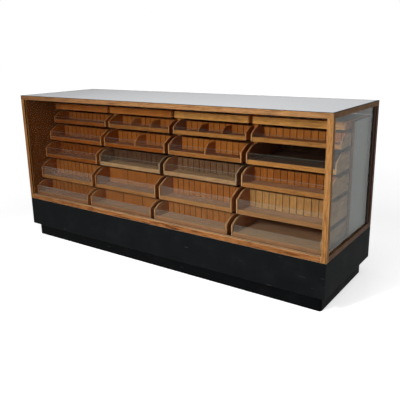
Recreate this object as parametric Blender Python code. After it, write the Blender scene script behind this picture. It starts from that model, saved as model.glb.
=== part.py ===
"""Glass-fronted shop counter with four columns of drawers, in metres with +Z up.

X runs along the counter. The customer stands at -Y and the shopkeeper at +Y.
The origin is the middle of the footprint, on the floor.
"""

import math

import bmesh
import bpy
from mathutils import Vector

# Overall plan size
WIDTH = 2.000
DEPTH = 0.600

# Gap between pieces that touch, and gap beside pieces that slide
FIT = 0.0003
SLIDE_GAP = 0.001

# Plinth: a box of boards on a lower ring that leaves room for the toes
TOE_HEIGHT = 0.076
TOE_INSET_END = 0.0255
TOE_INSET_FRONT = 0.028
TOE_INSET_REAR = 0.049
TOE_WALL = 0.018
TOE_CORNER_RADIUS = 0.012
TOE_CORNER_SEGMENTS = 4
PLINTH_HEIGHT = 0.1705
PLINTH_WALL = 0.018

# Case: floor, sill, stile, rails, panel and glass
FLOOR_THICKNESS = 0.0205
SILL_HEIGHT = 0.0275
SILL_DEPTH = 0.024
STILE_WIDTH = 0.027
STILE_DEPTH = 0.024
LEFT_PANEL_THICKNESS = 0.025
SIDE_RAIL_THICKNESS = 0.022
POST_DEPTH = 0.060
POST_RECESS_WIDTH = 0.034
POST_RECESS_DEPTH = 0.004
GLASS_THICKNESS = 0.004
GLASS_SETBACK = 0.010
SIDE_GLASS_SETBACK = 0.008
GROOVE_DEPTH = 0.006

# Top: an edge frame with a rebate that holds the grey sheet
TOP_FRAME_HEIGHT = 0.025
TOP_FRAME_WIDTH = 0.030
TOP_MARGIN = 0.006
TOP_TONGUE = 0.009
TOP_GROOVE_DEPTH = 0.005
TOP_JOINT = 0.001

# Rack: uprights with runner strips, seen between the drawers
COLUMNS = 4
UPRIGHT_THICKNESS = 0.021
UPRIGHT_DEPTH = 0.267
UPRIGHT_ABOVE_SLIDES = 0.020
RIGHT_END_THICKNESS = 0.015
RIGHT_END_TO_OUTSIDE = 0.025
RIGHT_END_BELOW_SLIDE = 0.006
RIGHT_END_SETBACK = 0.036
RUNNER_HEIGHT = 0.012
RUNNER_REACH = 0.010
RUNNER_HOUSING = 0.005
HEADROOM = 0.0234

# Drawers, from the bottom row up: side height and straight part of the side's front edge
ROWS = (
    (0.082, 0.055),
    (0.108, 0.072),
    (0.087, 0.060),
    (0.087, 0.053),
    (0.066, 0.038),
)
ROW_GAP = 0.019
ROW_STEP = 0.046
FRONT_SPACE = 0.036
REAR_SPACE = 0.038
SIDE_THICKNESS = 0.010
SIDE_SLOPE_DEGREES = 31
SIDE_CURVE_RADIUS = 0.075
SIDE_CURVE_SEGMENTS = 6
DRAWER_FLOOR = 0.006
DRAWER_FLOOR_RISE = 0.004
RAIL_HEIGHT = 0.021
RAIL_THICKNESS = 0.016
REVEAL = 0.0005
PANE_THICKNESS = 0.003
PANE_SETBACK = 0.007
PANE_GROOVE = 0.004
CROSS_BOARD_SETBACK = 0.115
CROSS_BOARD_THICKNESS = 0.012
CROSS_BOARD_DROP = 0.007
BOARD_GROOVE_WIDTH = 0.003
BOARD_GROOVE_DEPTH = 0.002
BOARD_STRIPS = 12
WIDE_BOARD_STRIPS = 3
DIVIDER_THICKNESS = 0.008
DIVIDER_CURVE_DEPTH = 0.055
DIVIDER_CURVE_SEGMENTS = 6
HOUSING = 0.005
REAR_BOARD_THICKNESS = 0.016
REAR_BOARD_GAP = 0.003

# Pull-out slides above the drawers, and the strip pulls at the back
SLIDE_HEIGHT = 0.036
SLIDE_BOARD = 0.018
SLIDE_SETBACK = 0.020
SLIDE_RIM = 0.014
PULL_LENGTH = 0.100
PULL_HEIGHT = 0.020
PULL_REACH = 0.018
PULL_LIP = 0.006

# Drawers that differ, as (row from the top, column from the left)
WITHOUT_CROSS_BOARD = {(2, 4), (5, 4)}
WITH_WIDE_STRIPS = {(4, 2), (5, 2)}
COMPARTMENTS = {(1, 2): 3, (1, 3): 3, (2, 2): 2, (2, 3): 2}
GREYED = {(3, 2), (3, 3)}

# Heights worked out from the floor up
PLINTH_TOP = TOE_HEIGHT + PLINTH_HEIGHT
FLOOR_TOP = PLINTH_TOP + FIT + FLOOR_THICKNESS
SILL_TOP = PLINTH_TOP + SILL_HEIGHT
ROW_BOTTOMS = [FLOOR_TOP + FIT]
for side_height, straight in ROWS:
    ROW_BOTTOMS.append(ROW_BOTTOMS[-1] + side_height + ROW_GAP)
SLIDE_BOTTOM = ROW_BOTTOMS[-1]
SLIDE_TOP = SLIDE_BOTTOM + SLIDE_HEIGHT
RACK_TOP = SLIDE_TOP + UPRIGHT_ABOVE_SLIDES
TOP_FRAME_BOTTOM = RACK_TOP + HEADROOM
HEIGHT = TOP_FRAME_BOTTOM + TOP_FRAME_HEIGHT

# Places along the counter and through it
LEFT = -WIDTH / 2
RIGHT = WIDTH / 2
FRONT = -DEPTH / 2
REAR = DEPTH / 2
LEFT_INSIDE = LEFT + LEFT_PANEL_THICKNESS
RACK_RIGHT = RIGHT - RIGHT_END_TO_OUTSIDE
RIGHT_END_INSIDE = RACK_RIGHT - RIGHT_END_THICKNESS
COLUMN_GAP = UPRIGHT_THICKNESS + 2 * SLIDE_GAP
DRAWERS_LEFT = LEFT_INSIDE + SLIDE_GAP
DRAWERS_RIGHT = RIGHT_END_INSIDE - SLIDE_GAP
DRAWER_WIDTH = (DRAWERS_RIGHT - DRAWERS_LEFT - (COLUMNS - 1) * COLUMN_GAP) / COLUMNS
FRONT_GLASS_Y = FRONT + GLASS_SETBACK
SIDE_GLASS_X = RIGHT - SIDE_GLASS_SETBACK
REAR_BOARD_Y = REAR - REAR_SPACE
RACK_REAR = REAR_BOARD_Y - FIT
RACK_FRONT = RACK_REAR - UPRIGHT_DEPTH
RIGHT_END_FRONT = RACK_FRONT + RIGHT_END_SETBACK
SLIDE_FRONT = FRONT + FRONT_SPACE + (len(ROWS) - 1) * ROW_STEP + SLIDE_SETBACK

DIRECTIONS = {"X": Vector((1, 0, 0)), "Y": Vector((0, 1, 0)), "Z": Vector((0, 0, 1))}


def clear_scene():
    for obj in list(bpy.data.objects):
        bpy.data.objects.remove(obj, do_unlink=True)


def make_material(name, colour, roughness, metallic=0.0, transmission=0.0):
    material = bpy.data.materials.new(name)
    material.use_nodes = True
    shader = material.node_tree.nodes["Principled BSDF"]
    shader.inputs["Base Color"].default_value = (*colour, 1.0)
    shader.inputs["Roughness"].default_value = roughness
    shader.inputs["Metallic"].default_value = metallic
    shader.inputs["Transmission Weight"].default_value = transmission
    return material


def make_materials():
    """The colours that the counter shows, as linear values."""
    return {
        "black paint": make_material("black paint", (0.010, 0.011, 0.012), 0.45),
        "honey oak": make_material("honey oak", (0.510, 0.270, 0.085), 0.40),
        "dark oak": make_material("dark oak", (0.050, 0.016, 0.005), 0.50),
        "drawer wood": make_material("drawer wood", (0.300, 0.095, 0.020), 0.50),
        "greyed drawer wood": make_material("greyed drawer wood", (0.170, 0.110, 0.065), 0.60),
        "grey linoleum": make_material("grey linoleum", (0.580, 0.600, 0.620), 0.30),
        "float glass": make_material("float glass", (0.900, 0.930, 0.920), 0.02, transmission=1.0),
    }


def add_box(bm, low, high):
    """A box between two opposite corners."""
    low = Vector(low)
    high = Vector(high)
    made = bmesh.ops.create_cube(bm, size=1.0)
    bmesh.ops.scale(bm, vec=high - low, verts=made["verts"])
    bmesh.ops.translate(bm, vec=(low + high) / 2, verts=made["verts"])
    return made["verts"]


def add_prism(bm, outline, axis, start, end):
    """A solid drawn as an outline across the axis and extruded from start to end."""
    if axis == "X":
        corners = [(start, a, b) for a, b in outline]
    elif axis == "Y":
        corners = [(a, start, b) for a, b in outline]
    else:
        corners = [(a, b, start) for a, b in outline]
    face = bm.faces.new([bm.verts.new(corner) for corner in corners])
    grown = bmesh.ops.extrude_face_region(bm, geom=[face])["geom"]
    tip = [item for item in grown if isinstance(item, bmesh.types.BMVert)]
    bmesh.ops.translate(bm, vec=DIRECTIONS[axis] * (end - start), verts=tip)


def finish(name, bm, material, origin, parent=None):
    """Make an object from shapes drawn in place, with its origin at the given point."""
    origin = Vector(origin)
    bmesh.ops.translate(bm, vec=-origin, verts=bm.verts)
    bmesh.ops.recalc_face_normals(bm, faces=bm.faces)
    mesh = bpy.data.meshes.new(name)
    bm.to_mesh(mesh)
    bm.free()
    mesh.materials.append(material)
    obj = bpy.data.objects.new(name, mesh)
    bpy.context.collection.objects.link(obj)
    obj.location = origin
    if parent is not None:
        obj.parent = parent
        obj.location = origin - parent.location
    return obj


def combine(obj, operation, shapes):
    """Join the shapes to the object or cut them out of it, and apply the result."""
    cutter_mesh = bpy.data.meshes.new("cutter")
    bmesh.ops.translate(shapes, vec=-obj.location, verts=shapes.verts)
    bmesh.ops.recalc_face_normals(shapes, faces=shapes.faces)
    shapes.to_mesh(cutter_mesh)
    shapes.free()
    cutter = bpy.data.objects.new("cutter", cutter_mesh)
    cutter.location = obj.location
    bpy.context.collection.objects.link(cutter)
    modifier = obj.modifiers.new("combine", "BOOLEAN")
    modifier.operation = operation
    modifier.solver = "EXACT"
    modifier.object = cutter
    bpy.context.view_layer.update()
    evaluated = obj.evaluated_get(bpy.context.evaluated_depsgraph_get())
    result = bpy.data.meshes.new_from_object(evaluated)
    obj.modifiers.clear()
    obj.data = result
    bpy.data.objects.remove(cutter)


def cut_box(obj, low, high):
    cutter = bmesh.new()
    add_box(cutter, low, high)
    combine(obj, "DIFFERENCE", cutter)


def board(name, low, high, material, parent=None):
    """A plain board with its origin in its middle."""
    bm = bmesh.new()
    add_box(bm, low, high)
    return finish(name, bm, material, (Vector(low) + Vector(high)) / 2, parent)


def rounded_rectangle(low, high, radius, segments):
    """A closed outline with round corners, counter-clockwise from the lower right."""
    corners = (
        (high[0] - radius, low[1] + radius, -90),
        (high[0] - radius, high[1] - radius, 0),
        (low[0] + radius, high[1] - radius, 90),
        (low[0] + radius, low[1] + radius, 180),
    )
    outline = []
    for x, y, first in corners:
        for step in range(segments + 1):
            angle = math.radians(first + 90 * step / segments)
            outline.append((x + radius * math.cos(angle), y + radius * math.sin(angle)))
    return outline


def make_plinth(materials):
    """The lower ring under an open-topped box of black boards."""
    low = (LEFT + TOE_INSET_END, FRONT + TOE_INSET_FRONT)
    high = (RIGHT - TOE_INSET_END, REAR - TOE_INSET_REAR)
    bm = bmesh.new()
    outline = rounded_rectangle(low, high, TOE_CORNER_RADIUS, TOE_CORNER_SEGMENTS)
    add_prism(bm, outline, "Z", 0, TOE_HEIGHT)
    ring = finish("toe_kick", bm, materials["black paint"], (0, 0, 0))
    cut_box(
        ring,
        (low[0] + TOE_WALL, low[1] + TOE_WALL, -TOE_HEIGHT),
        (high[0] - TOE_WALL, high[1] - TOE_WALL, 2 * TOE_HEIGHT),
    )

    bottom = TOE_HEIGHT + FIT
    box = board("plinth_box", (LEFT, FRONT, bottom), (RIGHT, REAR, PLINTH_TOP), materials["black paint"])
    cut_box(
        box,
        (LEFT + PLINTH_WALL, FRONT + PLINTH_WALL, bottom + PLINTH_WALL),
        (RIGHT - PLINTH_WALL, REAR - PLINTH_WALL, PLINTH_TOP + PLINTH_WALL),
    )


def make_case(materials):
    """The floor, sill, right-hand frame and the two fixed panes."""
    oak = materials["honey oak"]
    base = PLINTH_TOP + FIT
    under_top = TOP_FRAME_BOTTOM - FIT
    inside_rail = RIGHT - SIDE_RAIL_THICKNESS
    stile_left = RIGHT - STILE_WIDTH
    stile_rear = FRONT + STILE_DEPTH
    post_front = REAR - POST_DEPTH
    front_groove = (FRONT_GLASS_Y - FIT, FRONT_GLASS_Y + GLASS_THICKNESS + FIT)
    side_groove = (SIDE_GLASS_X - GLASS_THICKNESS - FIT, SIDE_GLASS_X + FIT)

    board(
        "case_floor",
        (LEFT_INSIDE + FIT, FRONT + SILL_DEPTH + FIT, base),
        (inside_rail - FIT, REAR - FIT, FLOOR_TOP),
        materials["dark oak"],
    )

    sill = board(
        "sill",
        (LEFT_INSIDE + FIT, FRONT, base),
        (stile_left - FIT, FRONT + SILL_DEPTH, SILL_TOP),
        oak,
    )
    cut_box(
        sill,
        (LEFT, front_groove[0], SILL_TOP - GROOVE_DEPTH),
        (RIGHT, front_groove[1], SILL_TOP + GROOVE_DEPTH),
    )

    stile = board("right_stile", (stile_left, FRONT, base), (RIGHT, stile_rear, under_top), oak)
    cut_box(
        stile,
        (stile_left - GROOVE_DEPTH, front_groove[0], SILL_TOP - GROOVE_DEPTH),
        (stile_left + GROOVE_DEPTH, front_groove[1], HEIGHT),
    )
    cut_box(
        stile,
        (side_groove[0], stile_rear - GROOVE_DEPTH, SILL_TOP - GROOVE_DEPTH),
        (side_groove[1], stile_rear + GROOVE_DEPTH, HEIGHT),
    )

    rail = board(
        "right_bottom_rail",
        (inside_rail, stile_rear + FIT, base),
        (RIGHT, post_front - FIT, SILL_TOP),
        oak,
    )
    cut_box(
        rail,
        (side_groove[0], FRONT, SILL_TOP - GROOVE_DEPTH),
        (side_groove[1], REAR, SILL_TOP + GROOVE_DEPTH),
    )

    post = board("rear_right_post", (inside_rail, post_front, base), (RIGHT, REAR, under_top), oak)
    cut_box(
        post,
        (RIGHT - POST_RECESS_DEPTH, post_front - POST_RECESS_WIDTH, SILL_TOP),
        (RIGHT + POST_RECESS_DEPTH, post_front + POST_RECESS_WIDTH, HEIGHT),
    )
    cut_box(
        post,
        (side_groove[0], post_front - GROOVE_DEPTH, SILL_TOP - GROOVE_DEPTH),
        (side_groove[1], post_front + GROOVE_DEPTH, HEIGHT),
    )

    glass_bottom = SILL_TOP - GROOVE_DEPTH + FIT
    glass_top = TOP_FRAME_BOTTOM + TOP_GROOVE_DEPTH - FIT
    board(
        "front_glass",
        (LEFT_INSIDE - GROOVE_DEPTH + FIT, FRONT_GLASS_Y, glass_bottom),
        (stile_left + GROOVE_DEPTH - FIT, FRONT_GLASS_Y + GLASS_THICKNESS, glass_top),
        materials["float glass"],
    )
    board(
        "side_glass",
        (SIDE_GLASS_X - GLASS_THICKNESS, stile_rear - GROOVE_DEPTH + FIT, glass_bottom),
        (SIDE_GLASS_X, post_front + GROOVE_DEPTH - FIT, glass_top),
        materials["float glass"],
    )


def make_top(materials):
    """The edge frame with its rear rail, and the grey sheet let into it."""
    frame = board(
        "top_frame", (LEFT, FRONT, TOP_FRAME_BOTTOM), (RIGHT, REAR, HEIGHT), materials["honey oak"]
    )
    tongue_top = TOP_FRAME_BOTTOM + TOP_TONGUE
    cut_box(
        frame,
        (LEFT + TOP_MARGIN, FRONT + TOP_MARGIN, tongue_top),
        (RIGHT - TOP_MARGIN, REAR - TOP_MARGIN, HEIGHT + TOP_FRAME_HEIGHT),
    )
    cut_box(
        frame,
        (LEFT + TOP_FRAME_WIDTH, FRONT + TOP_FRAME_WIDTH, TOP_FRAME_BOTTOM - TOP_FRAME_HEIGHT),
        (RIGHT - TOP_FRAME_WIDTH, REAR - TOP_FRAME_WIDTH, HEIGHT),
    )

    rear_rail = bmesh.new()
    add_box(
        rear_rail,
        (LEFT_INSIDE + FIT, REAR_BOARD_Y, SLIDE_TOP + REAR_BOARD_GAP),
        (
            RIGHT - SIDE_RAIL_THICKNESS - FIT,
            REAR_BOARD_Y + REAR_BOARD_THICKNESS,
            TOP_FRAME_BOTTOM + TOP_TONGUE / 2,
        ),
    )
    combine(frame, "UNION", rear_rail)

    below = TOP_FRAME_BOTTOM - GROOVE_DEPTH
    groove_top = TOP_FRAME_BOTTOM + TOP_GROOVE_DEPTH
    cut_box(
        frame,
        (LEFT_INSIDE - GROOVE_DEPTH, FRONT_GLASS_Y - FIT, below),
        (RIGHT - STILE_WIDTH + GROOVE_DEPTH, FRONT_GLASS_Y + GLASS_THICKNESS + FIT, groove_top),
    )
    cut_box(
        frame,
        (SIDE_GLASS_X - GLASS_THICKNESS - FIT, FRONT + STILE_DEPTH - GROOVE_DEPTH, below),
        (SIDE_GLASS_X + FIT, REAR - POST_DEPTH + GROOVE_DEPTH, groove_top),
    )

    edge = TOP_MARGIN + TOP_JOINT
    board(
        "top_panel",
        (LEFT + edge, FRONT + edge, tongue_top + FIT),
        (RIGHT - edge, REAR - edge, HEIGHT),
        materials["grey linoleum"],
    )


def row_front(row):
    """The front of a drawer row, counted from the top row down."""
    return FRONT + FRONT_SPACE + (len(ROWS) - row) * ROW_STEP


def row_sizes(row):
    """Underside, side height and straight front edge of a row, counted from the top row down."""
    index = len(ROWS) - row
    side_height, straight = ROWS[index]
    return ROW_BOTTOMS[index], side_height, straight


def column_left(column):
    """The left side of a drawer column, counted from the left."""
    return DRAWERS_LEFT + (column - 1) * (DRAWER_WIDTH + COLUMN_GAP)


def add_runners(bm, wall_x, side, wall_front=RACK_FRONT):
    """Runner strips housed in a wall. The side is +1 for a wall that faces +X and -1 for -X."""
    levels = [row_sizes(row)[0] for row in range(1, len(ROWS))] + [SLIDE_BOTTOM]
    ends = sorted((wall_x - side * RUNNER_HOUSING, wall_x + side * RUNNER_REACH))
    for carried in levels:
        add_box(
            bm,
            (ends[0], wall_front + HOUSING, carried - FIT - RUNNER_HEIGHT),
            (ends[1], RACK_REAR - HOUSING, carried - FIT),
        )


def make_rack(materials):
    """The panel at the left end, the three uprights and the right end with their runners."""
    base = PLINTH_TOP + FIT
    panel = board(
        "left_panel",
        (LEFT, FRONT, base),
        (LEFT_INSIDE, REAR, TOP_FRAME_BOTTOM - FIT),
        materials["honey oak"],
    )
    cut_box(
        panel,
        (LEFT_INSIDE - GROOVE_DEPTH, FRONT_GLASS_Y - FIT, SILL_TOP - GROOVE_DEPTH),
        (LEFT_INSIDE + GROOVE_DEPTH, FRONT_GLASS_Y + GLASS_THICKNESS + FIT, HEIGHT),
    )
    strips = bmesh.new()
    add_runners(strips, LEFT_INSIDE, 1)
    combine(panel, "UNION", strips)

    bottom = FLOOR_TOP + FIT
    for number in range(1, COLUMNS):
        left = column_left(number) + DRAWER_WIDTH + SLIDE_GAP
        right = left + UPRIGHT_THICKNESS
        upright = board(
            f"upright_{number}",
            (left, RACK_FRONT, bottom),
            (right, RACK_REAR, RACK_TOP),
            materials["drawer wood"],
        )
        strips = bmesh.new()
        add_runners(strips, left, -1)
        add_runners(strips, right, 1)
        combine(upright, "UNION", strips)

    right_end = board(
        "right_end",
        (RIGHT_END_INSIDE, RIGHT_END_FRONT, bottom),
        (RACK_RIGHT, RACK_REAR, SLIDE_TOP - RIGHT_END_BELOW_SLIDE),
        materials["drawer wood"],
    )
    strips = bmesh.new()
    add_runners(strips, RIGHT_END_INSIDE, -1, RIGHT_END_FRONT)
    combine(right_end, "UNION", strips)


def arc_points(centre_y, top, radius, sweep, segments):
    """Points on an arc that leaves a level top edge forwards and bends down by the sweep."""
    points = []
    for step in range(segments + 1):
        angle = sweep * step / segments
        points.append((centre_y - radius * math.sin(angle), top - radius + radius * math.cos(angle)))
    return points


def side_outline(front, rear, bottom, straight, height):
    """A side board in outline: a straight front edge, a slope, and an arc into the level top edge."""
    slope = math.radians(SIDE_SLOPE_DEGREES)
    top = bottom + height
    slope_rise = height - straight - SIDE_CURVE_RADIUS * (1 - math.cos(slope))
    curve_end = front + slope_rise / math.tan(slope) + SIDE_CURVE_RADIUS * math.sin(slope)
    curve = arc_points(curve_end, top, SIDE_CURVE_RADIUS, slope, SIDE_CURVE_SEGMENTS)
    return [(rear, bottom), (rear, top), *curve, (front, bottom + straight), (front, bottom)]


def divider_outline(front, rear, bottom, straight, height):
    """A divider in outline: a short straight front edge, then one arc up to the level top edge."""
    rise = height - straight
    radius = (DIVIDER_CURVE_DEPTH**2 + rise**2) / (2 * rise)
    sweep = math.asin(DIVIDER_CURVE_DEPTH / radius)
    curve = arc_points(front + DIVIDER_CURVE_DEPTH, bottom + height, radius, sweep, DIVIDER_CURVE_SEGMENTS)
    return [(rear, bottom), (rear, bottom + height), *curve, (front, bottom)]


def cross_board_outline(left, right, front, rear, strips):
    """A cross board seen from above, with an upright groove between each two strips."""
    half = BOARD_GROOVE_WIDTH / 2
    outline = [(right, rear), (left, rear), (left, front)]
    for number in range(1, strips):
        middle = left + (right - left) * number / strips
        outline.append((middle - half, front))
        outline.append((middle, front + BOARD_GROOVE_DEPTH))
        outline.append((middle + half, front))
    outline.append((right, front))
    return outline


def pull_outline(top):
    """A strip pull seen from the end, undercut for the fingers."""
    outside = REAR_BOARD_Y + REAR_BOARD_THICKNESS
    return (
        (outside - HOUSING, top),
        (outside - HOUSING, top - PULL_HEIGHT),
        (outside, top - PULL_HEIGHT),
        (outside + PULL_REACH - PULL_LIP, top - PULL_HEIGHT + PULL_LIP),
        (outside + PULL_REACH, top - PULL_HEIGHT),
        (outside + PULL_REACH, top - PULL_LIP),
        (outside + PULL_REACH - PULL_LIP, top),
    )


def rear_board_ends(column):
    """Left and right ends of the board at the back, which laps over the uprights beside it."""
    left = column_left(column)
    overlap = (COLUMN_GAP - REAR_BOARD_GAP) / 2
    low = left - overlap if column > 1 else left
    high = left + DRAWER_WIDTH + overlap if column < COLUMNS else RACK_RIGHT
    return low, high


def make_drawer(row, column, materials):
    """One drawer as a glued box, with its low pane standing in grooves behind the front edge."""
    bottom, side_height, straight = row_sizes(row)
    next_bottom = ROW_BOTTOMS[len(ROWS) - row + 1]
    front = row_front(row)
    left = column_left(column)
    right = left + DRAWER_WIDTH
    inner_left = left + SIDE_THICKNESS
    inner_right = right - SIDE_THICKNESS
    housed_left = inner_left - HOUSING
    housed_right = inner_right + HOUSING
    floor_bottom = bottom + DRAWER_FLOOR_RISE
    floor_top = floor_bottom + DRAWER_FLOOR
    floor_middle = floor_bottom + DRAWER_FLOOR / 2
    wood = materials["greyed drawer wood" if (row, column) in GREYED else "drawer wood"]

    sides = bmesh.new()
    outline = side_outline(front, REAR_BOARD_Y + HOUSING, bottom, straight, side_height)
    add_prism(sides, outline, "X", left, inner_left)
    add_prism(sides, outline, "X", inner_right, right)
    drawer = finish(f"drawer_r{row}c{column}", sides, wood, ((left + right) / 2, front, bottom))

    floor = bmesh.new()
    add_box(
        floor,
        (housed_left, front + HOUSING, floor_bottom),
        (housed_right, REAR_BOARD_Y + HOUSING / 2, floor_top),
    )
    combine(drawer, "UNION", floor)

    boards = bmesh.new()
    add_box(
        boards,
        (housed_left, front + REVEAL, bottom + REVEAL),
        (housed_right, front + RAIL_THICKNESS, bottom + RAIL_HEIGHT),
    )
    low, high = rear_board_ends(column)
    board_top = next_bottom + REVEAL - REAR_BOARD_GAP
    add_box(
        boards,
        (low, REAR_BOARD_Y, bottom + REVEAL),
        (high, REAR_BOARD_Y + REAR_BOARD_THICKNESS, board_top),
    )
    cross_front = front + CROSS_BOARD_SETBACK
    cross_top = bottom + side_height - CROSS_BOARD_DROP
    if (row, column) not in WITHOUT_CROSS_BOARD:
        strips = WIDE_BOARD_STRIPS if (row, column) in WITH_WIDE_STRIPS else BOARD_STRIPS
        outline = cross_board_outline(
            housed_left, housed_right, cross_front, cross_front + CROSS_BOARD_THICKNESS, strips
        )
        add_prism(boards, outline, "Z", floor_middle, cross_top)
    combine(drawer, "UNION", boards)

    details = bmesh.new()
    middle = (low + high) / 2
    pull_top = (bottom + board_top + PULL_HEIGHT) / 2
    add_prism(details, pull_outline(pull_top), "X", middle - PULL_LENGTH / 2, middle + PULL_LENGTH / 2)
    compartments = COMPARTMENTS.get((row, column), 1)
    for number in range(1, compartments):
        centre = inner_left + (inner_right - inner_left) * number / compartments
        outline = divider_outline(
            front + RAIL_THICKNESS - HOUSING,
            cross_front + HOUSING,
            floor_middle,
            bottom + RAIL_HEIGHT - HOUSING - floor_middle,
            cross_top - HOUSING - floor_middle,
        )
        add_prism(details, outline, "X", centre - DIVIDER_THICKNESS / 2, centre + DIVIDER_THICKNESS / 2)
    combine(drawer, "UNION", details)

    pane_front = front + PANE_SETBACK
    pane_foot = bottom + RAIL_HEIGHT - PANE_GROOVE
    cut_box(
        drawer,
        (inner_left - PANE_GROOVE, pane_front - FIT, pane_foot),
        (inner_right + PANE_GROOVE, pane_front + PANE_THICKNESS + FIT, next_bottom),
    )
    board(
        f"drawer_glass_r{row}c{column}",
        (inner_left - PANE_GROOVE + FIT, pane_front, pane_foot + FIT),
        (inner_right + PANE_GROOVE - FIT, pane_front + PANE_THICKNESS, bottom + straight),
        materials["float glass"],
        parent=drawer,
    )


def make_slide(column, materials):
    """A flat pull-out slide, hollow underneath, with a board and a pull at the back."""
    left = column_left(column)
    right = left + DRAWER_WIDTH
    bm = bmesh.new()
    add_box(bm, (left, SLIDE_FRONT, SLIDE_BOTTOM), (right, REAR_BOARD_Y + HOUSING, SLIDE_TOP))
    origin = ((left + right) / 2, SLIDE_FRONT, SLIDE_BOTTOM)
    slide = finish(f"slide_c{column}", bm, materials["drawer wood"], origin)
    cut_box(
        slide,
        (left + SLIDE_RIM, SLIDE_FRONT + SLIDE_RIM, SLIDE_BOTTOM - SLIDE_BOARD),
        (right - SLIDE_RIM, REAR_BOARD_Y - SLIDE_RIM, SLIDE_TOP - SLIDE_BOARD),
    )
    low, high = rear_board_ends(column)
    rear_board = bmesh.new()
    add_box(
        rear_board,
        (low, REAR_BOARD_Y, SLIDE_BOTTOM + REVEAL),
        (high, REAR_BOARD_Y + REAR_BOARD_THICKNESS, SLIDE_TOP - REVEAL),
    )
    combine(slide, "UNION", rear_board)
    middle = (low + high) / 2
    pull_top = (SLIDE_BOTTOM + SLIDE_TOP + PULL_HEIGHT) / 2
    pull = bmesh.new()
    add_prism(pull, pull_outline(pull_top), "X", middle - PULL_LENGTH / 2, middle + PULL_LENGTH / 2)
    combine(slide, "UNION", pull)


def main():
    clear_scene()
    materials = make_materials()
    make_plinth(materials)
    make_case(materials)
    make_top(materials)
    make_rack(materials)
    for row in range(1, len(ROWS) + 1):
        for column in range(1, COLUMNS + 1):
            make_drawer(row, column, materials)
    for column in range(1, COLUMNS + 1):
        make_slide(column, materials)


main()
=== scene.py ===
# %% [markdown]
# # A glazed shop counter with twenty drawers
# The real thing is a long oak counter on a black painted plinth. One big pane closes its front and another its
# right end. Behind them four columns of drawers step forward row by row, so that a customer sees into each one over
# its own low pane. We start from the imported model, which fixes every size and place, and dress it board by board.

# %% Load the frame and keep its box
import functools
import math
import random

import bmesh
import bpy
from mathutils import Matrix, Vector


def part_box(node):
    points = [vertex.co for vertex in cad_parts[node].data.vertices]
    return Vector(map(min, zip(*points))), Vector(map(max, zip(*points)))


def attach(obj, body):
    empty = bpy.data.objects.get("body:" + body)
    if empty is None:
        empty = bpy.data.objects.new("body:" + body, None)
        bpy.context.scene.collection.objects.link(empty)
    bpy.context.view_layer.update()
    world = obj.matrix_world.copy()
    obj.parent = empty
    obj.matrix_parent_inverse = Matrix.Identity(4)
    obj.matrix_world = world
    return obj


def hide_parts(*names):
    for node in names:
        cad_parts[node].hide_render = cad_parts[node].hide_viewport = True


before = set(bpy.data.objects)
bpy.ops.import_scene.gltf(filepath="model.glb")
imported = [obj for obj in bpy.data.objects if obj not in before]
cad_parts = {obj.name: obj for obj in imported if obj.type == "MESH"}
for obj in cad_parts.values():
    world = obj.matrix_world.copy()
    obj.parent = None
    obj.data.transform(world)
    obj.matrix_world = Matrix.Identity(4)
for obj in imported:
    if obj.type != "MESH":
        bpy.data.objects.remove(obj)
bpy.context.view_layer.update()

# %% [markdown]
# ## Small helpers for materials
# Colours are easiest to pick as the hex values that an image editor shows, but light adds up in linear values, so one
# function converts them. Another adds any node with its options and links, which keeps each material readable as a
# list of what feeds what. A node that is given as an input is linked by its first output in use.

# %% Colour and node helpers
def srgb(code):
    """A hex colour as linear red, green, blue and full alpha."""
    parts = [int(code[start:start + 2], 16) / 255 for start in (0, 2, 4)]
    linear = [part / 12.92 if part <= 0.04045 else ((part + 0.055) / 1.055) ** 2.4 for part in parts]
    return (*linear, 1.0)


def add_node(tree, kind, inputs=None, stops=None, **settings):
    """Add a node, set its options, fill or link its inputs, and place a ramp's stops."""
    node = tree.nodes.new("ShaderNode" + kind)
    for name, value in settings.items():
        setattr(node, name, value)
    for socket, value in (inputs or {}).items():
        if isinstance(value, bpy.types.Node):
            value = next(output for output in value.outputs if output.enabled)
        if isinstance(value, bpy.types.NodeSocket):
            tree.links.new(value, node.inputs[socket])
        else:
            node.inputs[socket].default_value = value
    if stops:
        elements = node.color_ramp.elements
        elements.remove(elements[1])
        elements[0].position, elements[0].color = stops[0]
        for position, colour in stops[1:]:
            elements.new(position).color = colour
    return node


def new_material(name):
    """An empty material, and the function above made ready for its node tree."""
    material = bpy.data.materials.new(name)
    material.use_nodes = True
    material.node_tree.nodes.clear()
    return material, functools.partial(add_node, material.node_tree)


def other_for_rays(add, kinds, usual, other):
    """Let some kinds of ray meet another shader than the usual one."""
    rays = add("LightPath")
    for kind in kinds:
        usual = add("MixShader", {"Fac": rays.outputs[kind], 1: usual, 2: other})
    return usual


print("an orange brown in linear values:", [round(value, 3) for value in srgb("A8632B")])

# %% [markdown]
# ## The camera
# The photograph was taken from the customer's side, near the right end, from a little above the top. The lens is a
# 46 mm one on a 36 mm wide frame. The small shift and roll come from fitting the counter's own straight edges.

# %% Camera at the photograph's angle
IMAGE_PIXELS = 400
FOCAL_PIXELS = 516.13
CENTRE_PIXELS = (203.99, 190.85)
CAMERA_PLACE = Vector((1.7554, -2.2862, 1.1443))
CAMERA_YAW = -0.6118
CAMERA_PITCH = 0.2654
CAMERA_ROLL = -0.0161
SENSOR_MM = 36


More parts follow.
